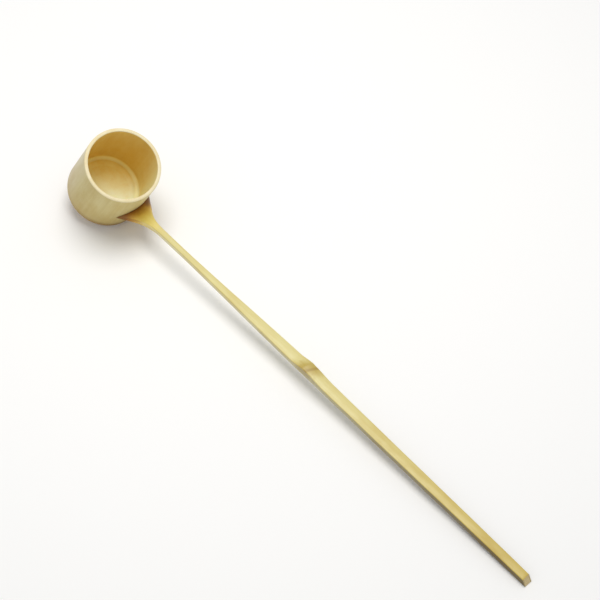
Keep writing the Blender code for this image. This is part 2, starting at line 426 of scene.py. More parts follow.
# %% [markdown]
# The node is more than a bump. The strip swells towards it, a fine raised line marks where a leaf
# sheath grew, and a shallow groove follows. The strip was also scraped by hand, so its edges and
# its skin waver by a few hundredths of a millimetre. Relief in a finish would not show at the
# outline, so all of this is in the strip's shape.

# %% Node and hand-scraped skin
NODE_SWELL = 0.0021
NODE_RISE_LENGTH = 0.0120
NODE_FALL_LENGTH = 0.0190
SCAR_OFFSET = -0.0012
SCAR_HEIGHT = 0.00016
SCAR_WIDTH = 0.0008
GROOVE_OFFSET = 0.0016
GROOVE_DEPTH = 0.00016
GROOVE_WIDTH = 0.0012
SCAR_SLANT = 0.22
HAND_WAVER = 0.00007
SLOW_WAVER = 41.0
QUICK_WAVER = 163.0
SLOW_SHARE, QUICK_SHARE = 0.6, 0.4
SKIN_PHASE = 0.7
SKIN_WAVER = 0.5


def bell(value, width):
    return math.exp(-((value / width) ** 2))


def node_swell(distance, side):
    reach = NODE_FALL_LENGTH if distance > NODE_DISTANCE else NODE_RISE_LENGTH
    swell = NODE_SWELL * smooth(1.0 - abs(distance - NODE_DISTANCE) / reach)
    along = distance - NODE_DISTANCE - SCAR_SLANT * side
    scar = SCAR_HEIGHT * bell(along - SCAR_OFFSET, SCAR_WIDTH)
    groove = GROOVE_DEPTH * bell(along - GROOVE_OFFSET, GROOVE_WIDTH)
    return swell + scar - groove


def waver(distance, phase):
    slow = math.sin(SLOW_WAVER * distance + phase)
    quick = math.sin(QUICK_WAVER * distance + 2.0 * phase)
    return HAND_WAVER * (SLOW_SHARE * slow + QUICK_SHARE * quick)


def skin(distance, side):
    level = node_swell(distance, side) - culm_drop(HANDLE_CULM_RADIUS, side)
    return level + SKIN_WAVER * waver(distance, SKIN_PHASE)


print("skin at the node stands", round(skin(NODE_DISTANCE, 0.0) * 1000, 2), "mm high")

# %% [markdown]
# The strip starts as a flat grid, whose points say how far along and how far across they are. More
# rows go where the shape changes quickly. The outermost columns roll over the edge, because a
# scraped edge is never sharp. A bevel would round it too, but by the same amount everywhere.

# %% Rows and columns of the strip
ROWS = 300
COLUMNS = 32
ROLL_COLUMNS = 6
SAW_LOSS = 0.0001
START_SPARE = 0.003
STRIP_END = HANDLE_LENGTH - SAW_LOSS
STRIP_START = HORN_DISTANCE - START_SPARE
ROW_SPREAD = ((0.0, STRIP_START), (0.30, 0.050), (0.46, 0.142), (0.66, 0.185), (1.0, STRIP_END))


def row_distance(share):
    """ROW_SPREAD pairs a share of the rows with a distance along the strip."""
    for (first, start), (last, end) in zip(ROW_SPREAD, ROW_SPREAD[1:]):
        if share <= last:
            return between(share, first, last, start, end)
    return STRIP_END


def column_roll(share):
    """(-1 to 1 across the flat, quarter turns rolled over the edge)"""
    column = share * COLUMNS
    if column < ROLL_COLUMNS:
        return -1.0, -(1.0 - column / ROLL_COLUMNS)
    if column > COLUMNS - ROLL_COLUMNS:
        return 1.0, 1.0 - (COLUMNS - column) / ROLL_COLUMNS
    return -1.0 + 2.0 * (column - ROLL_COLUMNS) / (COLUMNS - 2 * ROLL_COLUMNS), 0.0


print("half of the rows lie before", round(row_distance(0.5) * 1000, 1), "mm")

# %% [markdown]
# Those two numbers put a point on the skin, or below it on the underside, which is planed flat.
# The skin's edge is roundest on the flare and less round along the neck. Towards the tip the skin
# leans back, because the saw cut there is slanted.

# %% One point of the strip
EDGE_ROUND = 0.00055
FLARE_ROUND = 0.0022
NECK_ROUND = 0.0005
LEAST_EDGE = 0.0004
TOP_SHARE, LOW_SHARE = 0.68, 0.25
LEFT_PHASE, RIGHT_PHASE = 4.4, 1.9
TIP_CUT = math.radians(30.0)
TIP_LEAN_START = 0.3000


def top_round(distance):
    fade = 1.0 - smooth(distance / NODE_DISTANCE)
    return EDGE_ROUND + FLARE_ROUND * on_flare(distance) + NECK_ROUND * fade


def strip_point(along, across, top):
    distance = row_distance(along)
    flat, roll = column_roll(across)
    middle = centre_line(distance)
    right = flat > 0
    half = half_width(distance) + waver(distance, RIGHT_PHASE if right else LEFT_PHASE)
    edge = thickness(distance) - culm_drop(HANDLE_CULM_RADIUS, middle + (half if right else -half))
    most = top_round(distance) if top else EDGE_ROUND
    round_off = min(most, (TOP_SHARE if top else LOW_SHARE) * max(edge, LEAST_EDGE))
    turn = roll * math.pi / 2
    side = middle + flat * (half - round_off) + round_off * math.sin(turn)
    dip = round_off * (1.0 - math.cos(turn))
    upper = skin(distance, side)
    if top:
        near_tip = smooth((distance - TIP_LEAN_START) / (HANDLE_LENGTH - TIP_LEAN_START))
        lean = near_tip * (thickness(distance) + upper) * math.tan(TIP_CUT)
        return Vector((distance - lean, side, upper - dip))
    return Vector((distance, side, min(-thickness(distance), upper - LEAST_EDGE) + dip))


print("neck's edge is rounded by up to", round(top_round(NECK_DISTANCE) * 1000, 2), "mm")

# %% [markdown]
# Extruding the grid gives the underside its own points. All points then go to their places, and
# a small bevel takes the sharp edge off the sawn end.

# %% Shape the strip
END_ROUND = 0.0003
END_SHARP = math.radians(40)


def round_edges(bm, edges, size, segments):
    bmesh.ops.bevel(
        bm, geom=edges, offset=size, segments=segments, profile=0.5, affect="EDGES", material=-1
    )


def round_tip(bm):
    bmesh.ops.recalc_face_normals(bm, faces=bm.faces[:])
    start = STRIP_END - TIP_THICKNESS
    near_end = [edge for edge in bm.edges if all(vert.co.x > start for vert in edge.verts)]
    sharp = [edge for edge in near_end if edge.calc_face_angle(0.0) > END_SHARP]
    round_edges(bm, sharp, END_ROUND, segments=3)
    print("tip rounded along", len(sharp), "edges")


def shape_strip():
    bm = bmesh.new()
    bmesh.ops.create_grid(bm, x_segments=ROWS, y_segments=COLUMNS, size=1.0)
    above = bm.verts[:]
    below = extrude_points(bm, bm.faces[:])
    for points, top in ((above, True), (below, False)):
        for vert in points:
            vert.co = strip_point((vert.co.x + 1.0) / 2.0, (vert.co.y + 1.0) / 2.0, top)
    round_tip(bm)
    return bm


handle = mesh_object("handle_strip", shape_strip(), HANDLE_TO_WORLD)
print("strip:", len(handle.data.vertices), "points")

# %% [markdown]
# Now the joint. The root is scooped out round so that it hugs the cup, the tongue is added, and
# two narrow splits are opened in the tongue's end for the wedges. These are cuts of one solid by
# another, which Booleans do better than any face-by-face work.

# %% Cut the joint
WALL_FIT = 0.00005
WEDGE_LENGTH = 0.0050
WEDGE_MOUTH = 0.0010
WEDGE_TIP = 0.0004
SPLIT_FIT = 0.00005
SPLIT_OVERCUT = 0.0002
WEDGE_ROUND = 0.00008
WEDGE_PLACES = {"left": TONGUE_WIDTH / 4, "right": -TONGUE_WIDTH / 4}


def cup_core(name, radius):
    """A plain round bar on the cup's axis, used only to cut."""
    bm = bmesh.new()
    bmesh.ops.create_cone(
        bm, cap_ends=True, segments=CUP_STEPS, radius1=radius, radius2=radius, depth=2.0 * CUP_HEIGHT
    )
    bmesh.ops.translate(bm, vec=(0.0, 0.0, CUP_HEIGHT / 2), verts=bm.verts[:])
    return mesh_object(name, bm, CUP_TO_WORLD)


def wedge_bar(name, place, spare):
    """A slip of bamboo: a cube stretched, then narrowed at its far end."""
    radius = HANDLE_CULM_RADIUS - TONGUE_INSET
    mouth = WEDGE_MOUTH / 2 + spare
    tip = WEDGE_TIP / 2 + spare
    overcut = SPLIT_OVERCUT if spare else 0.0
    top = -TONGUE_INSET - culm_drop(radius, abs(place) + mouth) + overcut
    floor = -(ROOT_THICKNESS - TONGUE_INSET) - overcut
    start, end = INNER_END - BAR_REACH, INNER_END + WEDGE_LENGTH + spare
    bm = bmesh.new()
    bmesh.ops.create_cube(bm, size=2.0)
    for vert in bm.verts:
        far = vert.co.x > 0.0
        side = vert.co.y * (tip if far else mouth)
        vert.co = Vector((end if far else start, place + side, top if vert.co.z > 0.0 else floor))
    if not spare:
        round_edges(bm, bm.edges[:], WEDGE_ROUND, segments=2)
    return mesh_object(name, bm, HANDLE_TO_WORLD)


tongue = half_moon_bar("tongue", INNER_END - BAR_REACH, TONGUE_INSET, 0.0)
carve(tongue, [("DIFFERENCE", cup_core("trim", BORE_RADIUS - TONGUE_PROUD))])
joint_cuts = [("DIFFERENCE", cup_core("scoop", CUP_RADIUS + WALL_FIT)), ("UNION", tongue)]
for side, place in WEDGE_PLACES.items():
    joint_cuts.append(("DIFFERENCE", wedge_bar("split_" + side, place, SPLIT_FIT)))
carve(handle, joint_cuts)
print("handle jointed:", len(handle.data.polygons), "faces")

# %% [markdown]
# ### The wedges
# Two thin slips of bamboo are driven into the splits from inside the cup and swell the tongue until
# it holds. A plain box would do for a spacer, but a driven slip is thinner at its point, so each one
# is the stretched and narrowed cube from above, trimmed flush with the tongue's round end.

# %% Make the wedges
wedges = {}
for side, place in WEDGE_PLACES.items():
    slip = wedge_bar("wedge_slip_" + side, place, 0.0)
    carve(slip, [("DIFFERENCE", cup_core("trim", BORE_RADIUS - TONGUE_PROUD))])
    wedges[side] = slip
    print(slip.name, "has", len(slip.data.polygons), "faces")

# %% [markdown]
# ## Bamboo in nodes
# Every finish here is built from shader nodes, with no picture. Colours are easiest to choose as
# numbers from 0 to 255, the way a screen shows them, but shaders want linear light, so one function
# turns the first kind into the second.

# %% Colours
def srgb(red, green, blue):
    """A screen colour, 0 to 255, as the linear colour that shaders use."""
    def linear(value):
        value = value / 255.0
        return value / 12.92 if value <= 0.04045 else ((value + 0.055) / 1.055) ** 2.4
    return linear(red), linear(green), linear(blue), 1.0


print("middle grey is", rounded(srgb(128, 128, 128), 3))

# %% [markdown]
# Adding and joining nodes takes many long calls. The node editor would do it by hand, but a script
# has to be read later, so one small class shortens the calls to sums, ramps and blends.

# %% Node helpers
class Nodes:
    """Short calls for adding and joining nodes in one tree."""

    def __init__(self, tree):
        self.tree = tree

    def add(self, kind, **settings):
        node = self.tree.nodes.new(kind)
        for name, value in settings.items():
            setattr(node, name, value)
        return node

    def put(self, socket, value):
        if isinstance(value, bpy.types.NodeSocket):
            self.tree.links.new(value, socket)
        elif value is not None:
            socket.default_value = value

    def fill(self, node, given):
        for name, value in given.items():
            self.put(node.inputs[name], value)

    def math(self, operation, first, second=None, clamp=False):
        node = self.add("ShaderNodeMath", operation=operation, use_clamp=clamp)
        self.put(node.inputs[0], first)
        self.put(node.inputs[1], second)
        return node.outputs[0]

    def plus(self, first, second, clamp=False):
        return self.math("ADD", first, second, clamp)

    def minus(self, first, second):
        return self.math("SUBTRACT", first, second)

    def times(self, first, second):
        return self.math("MULTIPLY", first, second)

    def apart(self, first, second):
        return self.math("ABSOLUTE", self.minus(first, second))

    def stretch(self, place, by):
        node = self.add("ShaderNodeVectorMath", operation="MULTIPLY")
        self.put(node.inputs[0], place)
        self.put(node.inputs[1], by)
        return node.outputs[0]

    def ramp(self, value, low, high, first=0.0, last=1.0):
        """A smooth step from first, where the value is low, to last, where it is high."""
        node = self.add("ShaderNodeMapRange", interpolation_type="SMOOTHSTEP")
        given = {"Value": value, "From Min": low, "From Max": high, "To Min": first, "To Max": last}
        self.fill(node, given)
        return node.outputs["Result"]

    def blend(self, share, first, second, kind="MIX"):
        node = self.add("ShaderNodeMix", data_type="RGBA", blend_type=kind)
        self.fill(node, {"Factor": share, "A": first, "B": second})
        return node.outputs["Result"]

    def tint(self, colour, stain, mask, most):
        """Blends the stain into the colour, by this share at most, where the mask is 1."""
        return self.blend(self.times(mask, most), colour, stain)

    def group(self, tree, **given):
        node = self.add("ShaderNodeGroup", node_tree=tree)
        self.fill(node, given)
        return node.outputs


print("the class has", len([name for name in vars(Nodes) if not name.startswith("_")]), "short calls")

# %% [markdown]
# Bamboo has one structure seen from different sides: long fibres along the culm, and the same
# fibres cut across as dark dots. Each view is a node group, which is a shader effect built once
# with named sockets, so the cup, the handle and the wedges share it with their own values.

# %% Group helper
FLOAT = "NodeSocketFloat"
COLOUR = "NodeSocketColor"
VECTOR = "NodeSocketVector"


def new_group(name, inputs, outputs):
    """An empty shader group with named sockets, and the two ends of its tree."""
    tree = bpy.data.node_groups.new(name, "ShaderNodeTree")
    for label, kind in inputs.items():
        tree.interface.new_socket(label, in_out="INPUT", socket_type=kind)
    for label, kind in outputs.items():
        tree.interface.new_socket(label, in_out="OUTPUT", socket_type=kind)
    nodes = Nodes(tree)
    return tree, nodes, nodes.add("NodeGroupInput").outputs, nodes.add("NodeGroupOutput").inputs


print("sockets are of the kinds", FLOAT, COLOUR, VECTOR)

# %% [markdown]
# ### Long fibres
# Split or scraped bamboo shows three sizes of line: broad soft streaks, thin fibres a third of a
# millimetre wide, and short dark flecks where a bundle of fibres surfaces. Noise squeezed across
# the fibres and stretched along them gives each size, and the finer ones also serve as the relief.

# %% Fibre group
STREAK_SCALE = (420.0, 420.0, 9.0)
FIBRE_SCALE = (2600.0, 2600.0, 34.0)
FLECK_SCALE = (1900.0, 1900.0, 130.0)
STREAK_SHARE = 0.6
LINE_LOW, LINE_HIGH = 0.3, 0.7
FLECK_LOW, FLECK_HIGH = 0.64, 0.74
FIBRE_RELIEF = 0.7
FLECK_RELIEF = 0.5


def noise(n, place, scale, detail=3.0, roughness=0.55):
    """Noise with its scale in cycles per metre, one number or one for each axis."""
    node = n.add("ShaderNodeTexNoise", noise_dimensions="3D")
    if isinstance(scale, tuple):
        place, scale = n.stretch(place, scale), 1.0
    n.fill(node, {"Vector": place, "Scale": scale, "Detail": detail, "Roughness": roughness})
    return node.outputs["Fac"]


def make_fibre_group():
    inputs = {"Place": VECTOR, "Streak": FLOAT, "Fleck": FLOAT, "Pale": COLOUR, "Dark": COLOUR}
    tree, n, given, made = new_group("bamboo fibres", inputs, {"Color": COLOUR, "Height": FLOAT})
    broad = noise(n, given["Place"], STREAK_SCALE, detail=2.0)
    thin = noise(n, given["Place"], FIBRE_SCALE)
    bundle = noise(n, given["Place"], FLECK_SCALE, detail=2.0)
    streaks = n.times(n.ramp(broad, LINE_LOW, LINE_HIGH), STREAK_SHARE)
    fibres = n.times(n.ramp(thin, LINE_LOW, LINE_HIGH), 1.0 - STREAK_SHARE)
    flecks = n.times(n.ramp(bundle, FLECK_LOW, FLECK_HIGH), given["Fleck"])
    lines = n.times(n.plus(streaks, fibres), given["Streak"])
    share = n.plus(lines, flecks, clamp=True)
    n.put(made["Color"], n.blend(share, given["Pale"], given["Dark"]))
    n.put(made["Height"], n.minus(n.times(thin, FIBRE_RELIEF), n.times(flecks, FLECK_RELIEF)))
    return tree


FIBRES = make_fibre_group()
print("made group", FIBRES.name, "of", len(FIBRES.nodes), "nodes")

# %% [markdown]
# ### Cut ends
# Where bamboo is cut across, each bundle of fibres is a brown dot in pale flesh. The bundles are
# small and crowded near the skin and larger and sparse inside. Two Voronoi patterns of different
# spacing, blended by how near the skin is, give that change.

# %% End-grain group
CROWDED_SPACING, CROWDED_DOT = 0.00032, 0.42
SPARSE_SPACING, SPARSE_DOT = 0.00062, 0.36
DOT_CORE = 0.3
FAINTEST_DOT = 0.35
FLESH_SCALE = 5200.0
FLESH_MOTTLE = 0.12


def bundle_dots(n, place, spacing, size):
    """Soft round dots, one in each Voronoi cell, some fainter than others."""
    cells = n.add("ShaderNodeTexVoronoi", voronoi_dimensions="2D", feature="F1")
    n.put(cells.inputs["Vector"], n.stretch(place, (1.0 / spacing, 1.0 / spacing, 0.0)))
    n.put(cells.inputs["Scale"], 1.0)
    spot = n.ramp(cells.outputs["Distance"], size * DOT_CORE, size, 1.0, 0.0)
    tint = n.add("ShaderNodeSeparateColor")
    n.put(tint.inputs[0], cells.outputs["Color"])
    return n.times(spot, n.ramp(tint.outputs[0], 0.0, 1.0, FAINTEST_DOT, 1.0))


def make_end_group():
    inputs = {"Place": VECTOR, "Skin": FLOAT, "Strength": FLOAT, "Flesh": COLOUR, "Bundle": COLOUR}
    tree, n, given, made = new_group("bamboo cut end", inputs, {"Color": COLOUR, "Height": FLOAT})
    crowded = bundle_dots(n, given["Place"], CROWDED_SPACING, CROWDED_DOT)
    sparse = bundle_dots(n, given["Place"], SPARSE_SPACING, SPARSE_DOT)
    inner = n.times(sparse, n.minus(1.0, given["Skin"]))
    dots = n.plus(n.times(crowded, given["Skin"]), inner, clamp=True)
    grain = noise(n, given["Place"], FLESH_SCALE, detail=2.0)
    mottled = n.blend(n.times(grain, FLESH_MOTTLE), given["Flesh"], given["Bundle"])
    n.put(made["Color"], n.blend(n.times(dots, given["Strength"]), mottled, given["Bundle"]))
    n.put(made["Height"], n.minus(grain, dots))
    return tree


CUT_END = make_end_group()
print("made group", CUT_END.name, "of", len(CUT_END.nodes), "nodes")

# %% [markdown]
# ### Age and handling
# Old bamboo is not one colour: soft clouds of warmer brown lie in it, with a few small specks. One
# group multiplies them into a colour, and also puts its mask out, so that the same clouds can make
# the surface duller. Multiplying is right here because a stain only ever darkens.

# %% Patina group
CLOUD_SCALE = (90.0, 90.0, 38.0)
CLOUD_LOW, CLOUD_HIGH = 0.38, 0.72
SPECK_SCALE = 900.0
SPECK_LOW, SPECK_HIGH = 0.68, 0.78
SPECK_STRENGTH = 0.5


def make_patina_group():
    inputs = {"Place": VECTOR, "Color": COLOUR, "Stain": COLOUR, "Amount": FLOAT}
    tree, n, given, made = new_group("bamboo patina", inputs, {"Color": COLOUR, "Mask": FLOAT})
    clouds = n.ramp(noise(n, given["Place"], CLOUD_SCALE, detail=3.0, roughness=0.6), CLOUD_LOW, CLOUD_HIGH)
    specks = n.ramp(noise(n, given["Place"], SPECK_SCALE, detail=2.0), SPECK_LOW, SPECK_HIGH)
    mask = n.plus(clouds, n.times(specks, SPECK_STRENGTH), clamp=True)
    share = n.times(mask, given["Amount"])
    n.put(made["Color"], n.blend(share, given["Color"], given["Stain"], "MULTIPLY"))
    n.put(made["Mask"], mask)
    return tree


PATINA = make_patina_group()
print("made group", PATINA.name, "of", len(PATINA.nodes), "nodes")

# %% [markdown]
# ### Starting a finish
# Every finish begins with the Object coordinates and a Mapping of the Texture kind, which turns the
# world back into the piece's own frame with Z along its fibres. For the handle that frame is turned
# a further quarter. Unwrapping the meshes would do as well, but leaves seams.

# %% Start a finish
HANDLE_FIBRES = HANDLE_TO_WORLD @ Matrix.Rotation(math.pi / 2, 4, "Y")
BAMBOO_IOR = 1.5


def local_place(n, to_world):
    """Object coordinates, turned back into a piece's own frame."""
    local = n.add("ShaderNodeMapping", vector_type="TEXTURE")
    local.inputs["Location"].default_value = to_world.to_translation()
    local.inputs["Rotation"].default_value = to_world.to_euler()
    n.put(local.inputs["Vector"], n.add("ShaderNodeTexCoord").outputs["Object"])
    return local.outputs["Vector"]


def split_axes(n, place):
    split = n.add("ShaderNodeSeparateXYZ")
    n.put(split.inputs[0], place)
    return split.outputs


def start_finish(name, to_world):
    made = bpy.data.materials.new(name)
    made.use_nodes = True
    n = Nodes(made.node_tree)
    shader = made.node_tree.nodes["Principled BSDF"]
    shader.inputs["IOR"].default_value = BAMBOO_IOR
    place = local_place(n, to_world)
    return made, n, shader, place, split_axes(n, place)


print("handle fibres point along", rounded(HANDLE_FIBRES.col[2].xyz, 3))

# %% [markdown]
# ### Ending a finish
# Every finish ends with the patina, which also sets how dull the surface is, and with a bump for
# relief that is finer than the mesh.

# %% End a finish
def age(n, shader, place, colour, stain, amount, polish, dulled):
    """Stains a colour, and makes the stained clouds duller than the polish around them."""
    aged = n.group(PATINA, Place=place, Color=colour, Stain=stain, Amount=amount)
    n.put(shader.inputs["Base Color"], aged["Color"])
    n.put(shader.inputs["Roughness"], n.plus(n.times(aged["Mask"], dulled), polish))


def add_relief(n, shader, height, strength, depth):
    bump = n.add("ShaderNodeBump")
    n.put(bump.inputs["Height"], height)
    bump.inputs["Strength"].default_value = strength
    bump.inputs["Distance"].default_value = depth
    n.put(shader.inputs["Normal"], bump.outputs["Normal"])


print("every finish ends with", PATINA.name)

# %% [markdown]
# ### The cup's outside
# The culm's skin was scraped off the cup, which leaves a dry beige with faint upright fibres. The side away
# from the handle faces up towards the light and is painted paler and greyer, as painted light. The side
# near the handle warms to brown at the foot, where the node was. A lathe left fine level lines.
# Each of these is a ramp along one of the cup's own axes, so nothing has to be painted by hand.

# %% Finish: scraped outside
SCRAPED_PALE = srgb(212, 197, 136)
SCRAPED_DARK = srgb(192, 172, 106)
SCRAPED_STAIN = srgb(238, 222, 182)
# Painted light: the pale grey of the side that the light falls on.
LIT_SIDE_PALE = srgb(230, 224, 200)
LIT_SIDE_NONE, LIT_SIDE_FULL = -0.004, -0.023
LOW_TAN = srgb(186, 158, 88)
LOW_NONE, LOW_FULL = 0.034, 0.006
FOOT_BROWN = srgb(150, 112, 54)
FOOT_NONE, FOOT_FULL = 0.0082, 0.0006
FOOT_FAR, FOOT_NEAR = -0.018, 0.020
FOOT_LEAST, FOOT_MOST = 0.15, 0.90
LATHE_SCALE = (30.0, 30.0, 3600.0)
LATHE_RELIEF = 0.35


def scraped_outside():
    made, n, shader, place, axes = start_finish("cup_outside", CUP_TO_WORLD)
    fibres = n.group(FIBRES, Place=place, Streak=0.5, Fleck=0.25, Pale=SCRAPED_PALE, Dark=SCRAPED_DARK)
    # Painted light: the side away from the handle, facing up to the light, is painted paler and greyer.
    lit_side_share = n.ramp(axes["X"], LIT_SIDE_NONE, LIT_SIDE_FULL)
    lit_side_paler = n.tint(fibres["Color"], LIT_SIDE_PALE, lit_side_share, most=0.85)
    tanned = n.tint(lit_side_paler, LOW_TAN, n.ramp(axes["Z"], LOW_NONE, LOW_FULL), most=0.4)
    near = n.ramp(axes["X"], FOOT_FAR, FOOT_NEAR, FOOT_LEAST, FOOT_MOST)
    browned = n.tint(tanned, FOOT_BROWN, n.ramp(axes["Z"], FOOT_NONE, FOOT_FULL), most=near)
    age(n, shader, place, browned, SCRAPED_STAIN, amount=0.4, polish=0.52, dulled=0.14)
    lathe = n.times(noise(n, place, LATHE_SCALE, detail=2.0), LATHE_RELIEF)
    add_relief(n, shader, n.plus(fibres["Height"], lathe), strength=0.35, depth=0.00016)
    return made


CUP_OUTSIDE = scraped_outside()
print("made finish", CUP_OUTSIDE.name)

# %% [markdown]
# ### The rim
# The culm is cut square at its mouth, so the rim shows the bundles end on, crowded towards the outer
# side, which was nearest the skin. Modelled dots would need thousands of faces, so the end-grain
# group draws them. Handling has polished the lip, so it is smoother than the outside. The walls of
# the slot were cut across too and take the same finish.

# %% Finish: cut rim
RIM_FLESH = srgb(239, 229, 190)
RIM_BUNDLE = srgb(184, 150, 92)
RIM_STAIN = srgb(238, 220, 174)


def radius_of(n, axes):
    squares = n.plus(n.times(axes["X"], axes["X"]), n.times(axes["Y"], axes["Y"]))
    return n.math("SQRT", squares)


def cut_rim():
    made, n, shader, place, axes = start_finish("cup_rim", CUP_TO_WORLD)
    nearness = n.ramp(radius_of(n, axes), BORE_RADIUS, CUP_RADIUS)
    ends = n.group(CUT_END, Place=place, Skin=nearness, Strength=0.42, Flesh=RIM_FLESH, Bundle=RIM_BUNDLE)
    age(n, shader, place, ends["Color"], RIM_STAIN, amount=0.4, polish=0.42, dulled=0.15)
    add_relief(n, shader, ends["Height"], strength=0.3, depth=0.00012)
    return made


CUP_RIM = cut_rim()
print("made finish", CUP_RIM.name)

# %% [markdown]
# ### Under the cup
# Below, the wall's cut end makes a foot ring, and inside it lies the other side of the node: a thin
# brown membrane in rings, slightly hollow. One finish shows both, told apart by the distance from
# the cup's axis, so the change of colour falls on the edge that the profile already has.

# %% Finish: underside
UNDER_BLUR = 0.0008
FOOT_FLESH = srgb(206, 180, 124)
FOOT_BUNDLE = srgb(140, 104, 56)
UNDER_PALE = srgb(200, 168, 108)
UNDER_DARK = srgb(152, 116, 64)
UNDER_SHADE = srgb(110, 78, 40)
UNDER_STAIN = srgb(226, 202, 152)
UNDER_RINGS = 620.0
UNDER_CLOUDS = 300.0
UNDER_RING_SHARE, UNDER_CLOUD_SHARE = 0.55, 0.45
PAPERY_LOW, PAPERY_HIGH = 0.36, 0.64


def rings(n, radius, scale):
    """Noise that changes with the distance from an axis alone."""
    node = n.add("ShaderNodeTexNoise", noise_dimensions="1D")
    n.fill(node, {"W": radius, "Scale": scale})
    return node.outputs["Fac"]


def under_node():
    made, n, shader, place, axes = start_finish("cup_underside", CUP_TO_WORLD)
    radius = radius_of(n, axes)
    nearness = n.ramp(radius, UNDER_EDGE, CUP_RADIUS)
    ends = n.group(CUT_END, Place=place, Skin=nearness, Strength=0.6, Flesh=FOOT_FLESH, Bundle=FOOT_BUNDLE)
    clouds = n.times(noise(n, place, UNDER_CLOUDS, detail=4.0, roughness=0.6), UNDER_CLOUD_SHARE)
    papery = n.plus(n.times(rings(n, radius, UNDER_RINGS), UNDER_RING_SHARE), clouds)
    membrane = n.blend(n.ramp(papery, PAPERY_LOW, PAPERY_HIGH), UNDER_PALE, UNDER_DARK)
    hollow = n.ramp(radius, UNDER_EDGE, UNDER_EDGE - UNDER_BLUR)
    both = n.blend(hollow, ends["Color"], membrane)
    step = n.ramp(n.apart(radius, UNDER_EDGE - UNDER_BLUR), UNDER_BLUR, 0.0)
    shaded = n.tint(both, UNDER_SHADE, step, most=0.6)
    age(n, shader, place, shaded, UNDER_STAIN, amount=0.5, polish=0.6, dulled=0.15)
    ring_relief = n.times(ends["Height"], n.minus(1.0, hollow))
    add_relief(n, shader, n.plus(ring_relief, n.times(papery, hollow)), strength=0.5, depth=0.0002)
    return made


CUP_UNDERSIDE = under_node()
print("made finish", CUP_UNDERSIDE.name)

# %% [markdown]
# ### The cup's inside
# Inside the flesh is golden, and each colour comes in two copies: paler on the handle's side, where the
# light falls, as painted light, and deeper amber on the far side, as painted shade. A pale ring is painted
# along the cove between wall and floor as a highlight. The floor is the node's own membrane: cloudy, with
# faint rings round its middle. Three materials would meet at hard edges, so one finish blends all three,
# and height and radius tell them apart.

# %% Finish: golden inside
# Each inside colour comes as a deeper amber copy for the shaded far side and a paler copy for the lit side:
# painted shade and painted light.
AMBER_FLESH = srgb(236, 197, 102)
AMBER_STREAK = srgb(228, 181, 80)
LIT_FLESH = srgb(244, 241, 189)
LIT_STREAK = srgb(236, 227, 159)
AMBER_THIN = srgb(255, 231, 137)
AMBER_THICK = srgb(253, 221, 119)
LIT_THIN = srgb(246, 255, 236)
LIT_THICK = srgb(244, 252, 221)
INSIDE_STAIN = srgb(243, 222, 172)
LIGHT_X, LIGHT_Y = 0.8, -0.6
LIT_NONE, LIT_FULL = -0.018, 0.014
# Painted highlight colours for the ring along the cove.
AMBER_COVE_HIGHLIGHT = srgb(255, 240, 170)
LIT_COVE_HIGHLIGHT = srgb(254, 253, 202)
COVE_RADIUS, COVE_HALF, COVE_BLUR = 0.0207, 0.0004, 0.0016
COVE_TOP, COVE_BOTTOM = 0.0072, 0.0056
FLOOR_EDGE, FLOOR_BLUR = FLOOR_HEIGHT + 0.0004, 0.0014
TURNED_SCALE = (26.0, 26.0, 2400.0)
TURNED_RELIEF, FLESH_RELIEF = 0.5, 0.6
MEMBRANE_CLOUDS = 260.0
MEMBRANE_RINGS = 900.0
MEMBRANE_CLOUD_SHARE, MEMBRANE_RING_SHARE = 0.8, 0.2


def node_membrane(n, place, radius, lit_share):
    """The floor's colour, and the cloudy mask that gives it."""
    clouds = n.times(noise(n, place, MEMBRANE_CLOUDS, detail=4.0, roughness=0.6), MEMBRANE_CLOUD_SHARE)
    cloudy = n.plus(clouds, n.times(rings(n, radius, MEMBRANE_RINGS), MEMBRANE_RING_SHARE))
    thin = n.blend(lit_share, AMBER_THIN, LIT_THIN)
    thick = n.blend(lit_share, AMBER_THICK, LIT_THICK)
    return n.blend(n.ramp(cloudy, LINE_LOW, LINE_HIGH), thin, thick), cloudy


def golden_inside():
    made, n, shader, place, axes = start_finish("cup_inside", CUP_TO_WORLD)
    radius = radius_of(n, axes)
    # Painted light and shade: the lit copies towards the handle's side, the amber copies on the far side.
    towards_light = n.plus(n.times(axes["X"], LIGHT_X), n.times(axes["Y"], LIGHT_Y))
    lit_share = n.ramp(towards_light, LIT_NONE, LIT_FULL)
    flesh = n.blend(lit_share, AMBER_FLESH, LIT_FLESH)
    streaks = n.blend(lit_share, AMBER_STREAK, LIT_STREAK)
    wall = n.group(FIBRES, Place=place, Streak=0.5, Fleck=0.25, Pale=flesh, Dark=streaks)
    membrane, cloudy = node_membrane(n, place, radius, lit_share)
    on_floor = n.ramp(axes["Z"], FLOOR_EDGE + FLOOR_BLUR, FLOOR_EDGE)
    base = n.blend(on_floor, wall["Color"], membrane)
    # Painted highlight: a pale ring along the cove between wall and floor.
    in_cove = n.ramp(n.apart(radius, COVE_RADIUS), COVE_BLUR, COVE_HALF)
    low = n.ramp(axes["Z"], COVE_TOP, COVE_BOTTOM)
    cove = n.blend(lit_share, AMBER_COVE_HIGHLIGHT, LIT_COVE_HIGHLIGHT)
    cove_highlighted = n.tint(base, cove, n.times(in_cove, low), most=0.8)
    age(n, shader, place, cove_highlighted, INSIDE_STAIN, amount=0.32, polish=0.4, dulled=0.2)
    turned = n.times(noise(n, place, TURNED_SCALE, detail=2.0), TURNED_RELIEF)
    wall_relief = n.plus(n.times(wall["Height"], FLESH_RELIEF), turned)
    add_relief(n, shader, n.plus(wall_relief, n.times(cloudy, on_floor)), strength=0.3, depth=0.00016)
    return made


CUP_INSIDE = golden_inside()
print("made finish", CUP_INSIDE.name)

